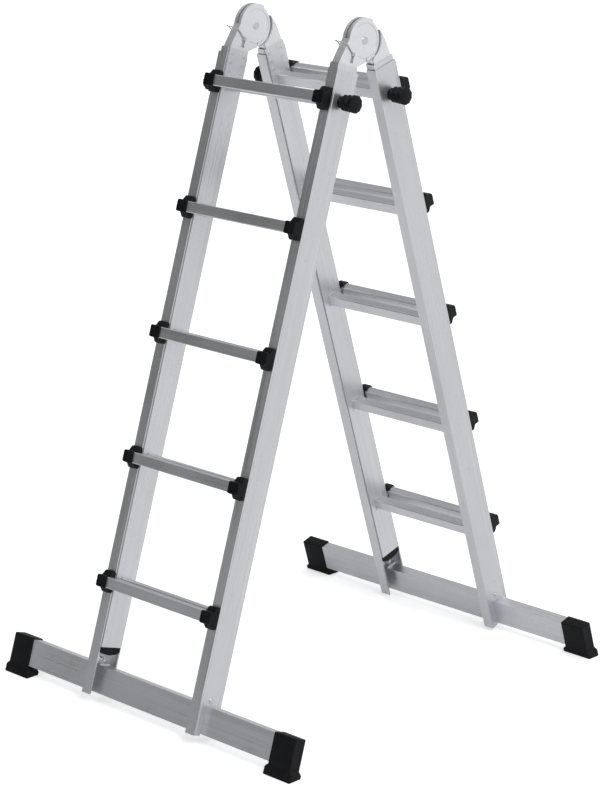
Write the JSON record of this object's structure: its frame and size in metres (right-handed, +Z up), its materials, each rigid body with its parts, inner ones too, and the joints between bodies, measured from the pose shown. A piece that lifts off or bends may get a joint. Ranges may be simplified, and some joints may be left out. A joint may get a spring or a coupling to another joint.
{
  "type": "multi position ladder",
  "caption": "Folding and telescoping multi position ladder standing as an A-frame, with two telescoped legs, outboard rungs, flared feet on wide crossbars and locking hinges.",
  "frame": {"origin": "on the floor, midway between the four feet and under the hinge axis", "axes": "+Z up, +X along the rungs to the viewer's right, -Y toward the front leg"},
  "size_m": [0.91, 1.0422, 1.4987],
  "materials": {
    "mill_aluminium": "satin extruded aluminium",
    "pale_zinc": "pale zinc plated pressed steel",
    "plated_steel": "bright plated steel",
    "black_plastic": "moulded black plastic",
    "black_rubber": "matt black rubber"
  },
  "bodies": {
    "front_outer": {"front_crossbar": "mill_aluminium", "front_crossbar_bolts": "plated_steel", "front_crossbar_brackets": "plated_steel", "front_foot_left": "black_rubber", "front_foot_right": "black_rubber", "front_lock_collars": "plated_steel", "front_outer_rung_1": "mill_aluminium", "front_outer_rung_2": "mill_aluminium", "front_outer_rung_3": "mill_aluminium", "front_outer_rung_4": "mill_aluminium", "front_outer_rung_5": "mill_aluminium", "front_outer_stile_left": "mill_aluminium", "front_outer_stile_right": "mill_aluminium", "front_rung_caps_left": "black_plastic", "front_rung_caps_right": "black_plastic"},
    "front_inner": {"front_hinge_left": "pale_zinc", "front_hinge_right": "pale_zinc", "front_hinge_rivets": "plated_steel", "front_inner_plugs": "black_plastic", "front_inner_rungs": "mill_aluminium", "front_inner_stile_left": "mill_aluminium", "front_inner_stile_right": "mill_aluminium", "hinge_pins": "plated_steel"},
    "rear_inner": {"lock_disc_left": "pale_zinc", "lock_disc_right": "pale_zinc", "rear_hinge_left": "pale_zinc", "rear_hinge_right": "pale_zinc", "rear_hinge_rivets": "plated_steel", "rear_inner_plugs": "black_plastic", "rear_inner_rungs": "mill_aluminium", "rear_inner_stile_left": "mill_aluminium", "rear_inner_stile_right": "mill_aluminium"},
    "rear_outer": {"rear_crossbar": "mill_aluminium", "rear_crossbar_bolts": "plated_steel", "rear_crossbar_brackets": "plated_steel", "rear_foot_left": "black_rubber", "rear_foot_right": "black_rubber", "rear_lock_collars": "plated_steel", "rear_outer_rung_1": "mill_aluminium", "rear_outer_rung_2": "mill_aluminium", "rear_outer_rung_3": "mill_aluminium", "rear_outer_rung_4": "mill_aluminium", "rear_outer_rung_5": "mill_aluminium", "rear_outer_stile_left": "mill_aluminium", "rear_outer_stile_right": "mill_aluminium", "rear_rung_caps_left": "black_plastic", "rear_rung_caps_right": "black_plastic"},
    "front_lock_left": {"front_lock_grip_left": "black_plastic", "front_lock_bolt_left": "plated_steel"},
    "front_lock_right": {"front_lock_grip_right": "black_plastic", "front_lock_bolt_right": "plated_steel"},
    "rear_lock_left": {"rear_lock_grip_left": "black_plastic", "rear_lock_bolt_left": "plated_steel"},
    "rear_lock_right": {"rear_lock_grip_right": "black_plastic", "rear_lock_bolt_right": "plated_steel"},
    "release_left": {"lock_bar_left": "plated_steel", "release_bail_left": "plated_steel"},
    "release_right": {"lock_bar_right": "plated_steel", "release_bail_right": "plated_steel"}
  },
  "joints": [
    {"name": "front_leg_slide", "type": "slide", "parent": "front_outer", "child": "front_inner", "axis": [0, 0.2999, 0.954], "range_m": [0, 1.12]},
    {"name": "leg_hinge", "type": "hinge", "parent": "front_inner", "child": "rear_inner", "pos_m": [0, 0, 1.45], "axis": [1, 0, 0], "range_deg": [-34.9, 145.1]},
    {"name": "rear_leg_slide", "type": "slide", "parent": "rear_inner", "child": "rear_outer", "axis": [0, 0.2999, -0.954], "range_m": [0, 1.12]},
    {"name": "front_lock_left_pull", "type": "slide", "parent": "front_outer", "child": "front_lock_left", "axis": [-1, 0, 0], "range_m": [0, 0.015], "stiffness_N_per_m": 1200, "springref_m": -0.01},
    {"name": "front_lock_right_pull", "type": "slide", "parent": "front_outer", "child": "front_lock_right", "axis": [1, 0, 0], "range_m": [0, 0.015], "stiffness_N_per_m": 1200, "springref_m": -0.01},
    {"name": "rear_lock_left_pull", "type": "slide", "parent": "rear_outer", "child": "rear_lock_left", "axis": [-1, 0, 0], "range_m": [0, 0.015], "stiffness_N_per_m": 1200, "springref_m": -0.01},
    {"name": "rear_lock_right_pull", "type": "slide", "parent": "rear_outer", "child": "rear_lock_right", "axis": [1, 0, 0], "range_m": [0, 0.015], "stiffness_N_per_m": 1200, "springref_m": -0.01},
    {"name": "release_left_pull", "type": "slide", "parent": "front_inner", "child": "release_left", "axis": [0, -0.2999, -0.954], "range_m": [0, 0.012], "stiffness_N_per_m": 800, "springref_m": -0.008},
    {"name": "release_right_pull", "type": "slide", "parent": "front_inner", "child": "release_right", "axis": [0, -0.2999, -0.954], "range_m": [0, 0.012], "stiffness_N_per_m": 800, "springref_m": -0.008}
  ]
}
